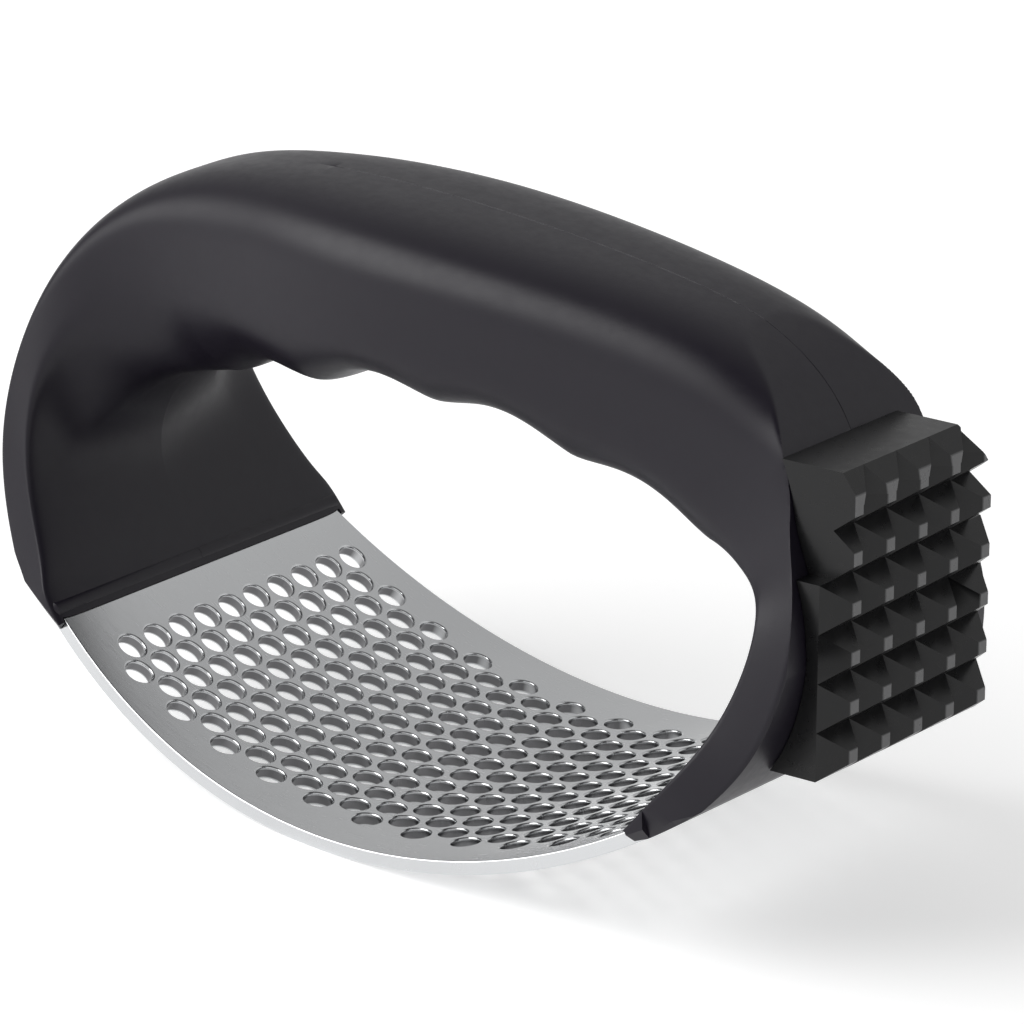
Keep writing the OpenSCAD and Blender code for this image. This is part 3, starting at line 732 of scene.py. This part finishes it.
shown = w.add("Mix", {0: camera_ray, 2: sky, 3: 1.0}, data_type="FLOAT").outputs[0]
w.finish(w.add("Background", {"Color": (1, 1, 1, 1), "Strength": shown}).outputs[0])

AIMED_AT = Vector((0, 0, 0.03))


def lamp(name, azimuth, elevation, distance, size, radiance):
    """Soft round lamp aimed at the object; azimuth 0 is in front (-Y), 90 at +X."""
    a, e = math.radians(azimuth), math.radians(elevation)
    toward = Vector((math.sin(a) * math.cos(e), -math.cos(a) * math.cos(e), math.sin(e)))
    light = bpy.data.lights.new(name, "AREA")
    light.shape = "DISK"
    light.size = size
    light.energy = radiance * math.pi * math.pi * (size / 2) ** 2
    obj = link(bpy.data.objects.new(name, light))
    obj.location = AIMED_AT + toward * distance
    obj.rotation_euler = (-toward).to_track_quat("-Z", "Y").to_euler()


lamp("key", azimuth=-46, elevation=37, distance=0.8, size=0.76, radiance=3.8)

# ---- camera ----
AIM_X, AIM_Z, DISTANCE, LENS = 2.5857, 27.997, 688.661, 255.367
AZIMUTH, ELEVATION, ROLL = 0.6230, 0.3680, 0.0772
SENSOR_W, CLIP_NEAR, CLIP_FAR = 36, 0.05, 20
back_way = Vector((math.sin(AZIMUTH) * math.cos(ELEVATION),
                   -math.cos(AZIMUTH) * math.cos(ELEVATION), math.sin(ELEVATION)))
flat_right = Vector((math.cos(AZIMUTH), math.sin(AZIMUTH), 0))
flat_up = back_way.cross(flat_right)
right = math.cos(ROLL) * flat_right + math.sin(ROLL) * flat_up
up = back_way.cross(right)
camera = link(bpy.data.objects.new("camera", bpy.data.cameras.new("camera")))
camera.data.lens = LENS
camera.data.sensor_width = SENSOR_W
camera.data.clip_start, camera.data.clip_end = CLIP_NEAR, CLIP_FAR
spot = Vector((AIM_X, 0, AIM_Z)) * MM + back_way * DISTANCE * MM
turned = Matrix((right, up, back_way)).transposed().to_4x4()
camera.matrix_world = Matrix.Translation(spot) @ turned
bpy.context.scene.camera = camera
bpy.context.scene.view_settings.view_transform = "Standard"

bpy.context.view_layer.update()
